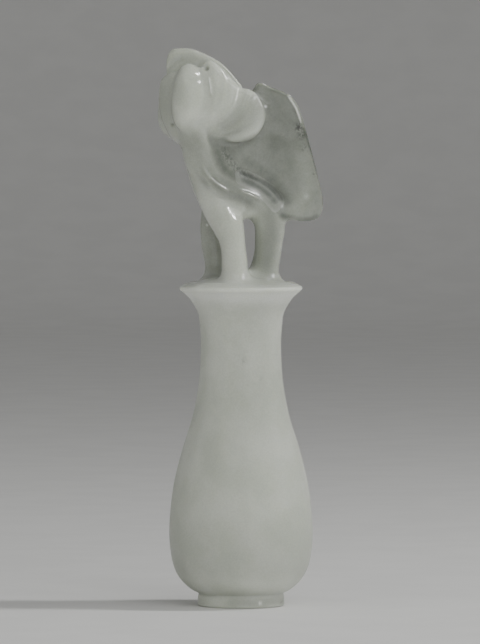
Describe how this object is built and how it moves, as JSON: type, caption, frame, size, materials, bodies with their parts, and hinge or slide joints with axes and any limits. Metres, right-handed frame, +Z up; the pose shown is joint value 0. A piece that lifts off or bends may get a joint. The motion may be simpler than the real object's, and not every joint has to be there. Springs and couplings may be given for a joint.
{
  "type": "jade vase",
  "caption": "Slender pear-shaped jade vase with a spread lip and a closed mouth, from which entwined stems rise to a bloom and a broad leaf, all carved from one stone.",
  "frame": {"origin": "middle of the foot ring's underside, on the vase's axis", "axes": "+Z up along the vase's axis; the front, with the bloom on its left (-X) and the leaf on its right (+X), faces -Y"},
  "size_m": [0.0295, 0.0258, 0.1],
  "materials": {
    "jade": "satin"
  },
  "bodies": {
    "root": {"jade_vase": "jade"}
  },
  "joints": []
}
